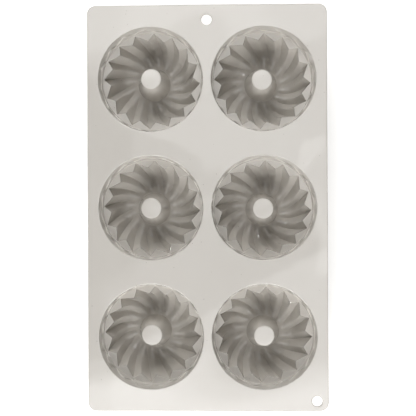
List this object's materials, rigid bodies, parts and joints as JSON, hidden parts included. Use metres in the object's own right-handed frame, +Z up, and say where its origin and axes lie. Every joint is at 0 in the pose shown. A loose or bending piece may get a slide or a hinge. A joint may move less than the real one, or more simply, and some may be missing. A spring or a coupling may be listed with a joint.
{
  "type": "silicone ring-cake mould",
  "caption": "Flexible rectangular silicone baking mould: a thin sheet with a grid of swirl-fluted ring-cake cavities, each with a hollow centre post, and round hanging holes.",
  "frame": {"origin": "on the standing plane, under the middle of the sheet", "axes": "+X across the short side towards the right column, +Y along the long side towards the edge with the middle hanging hole, +Z up out of the mouths"},
  "size_m": [0.175, 0.296, 0.038],
  "materials": {
    "silicone": "satin"
  },
  "bodies": {
    "root": {"sheet": "silicone", "collar_front_left": "silicone", "fluted_cup_front_left": "silicone", "centre_post_front_left": "silicone", "collar_front_right": "silicone", "fluted_cup_front_right": "silicone", "centre_post_front_right": "silicone", "collar_middle_left": "silicone", "fluted_cup_middle_left": "silicone", "centre_post_middle_left": "silicone", "collar_middle_right": "silicone", "fluted_cup_middle_right": "silicone", "centre_post_middle_right": "silicone", "collar_rear_left": "silicone", "fluted_cup_rear_left": "silicone", "centre_post_rear_left": "silicone", "collar_rear_right": "silicone", "fluted_cup_rear_right": "silicone", "centre_post_rear_right": "silicone"}
  },
  "joints": []
}
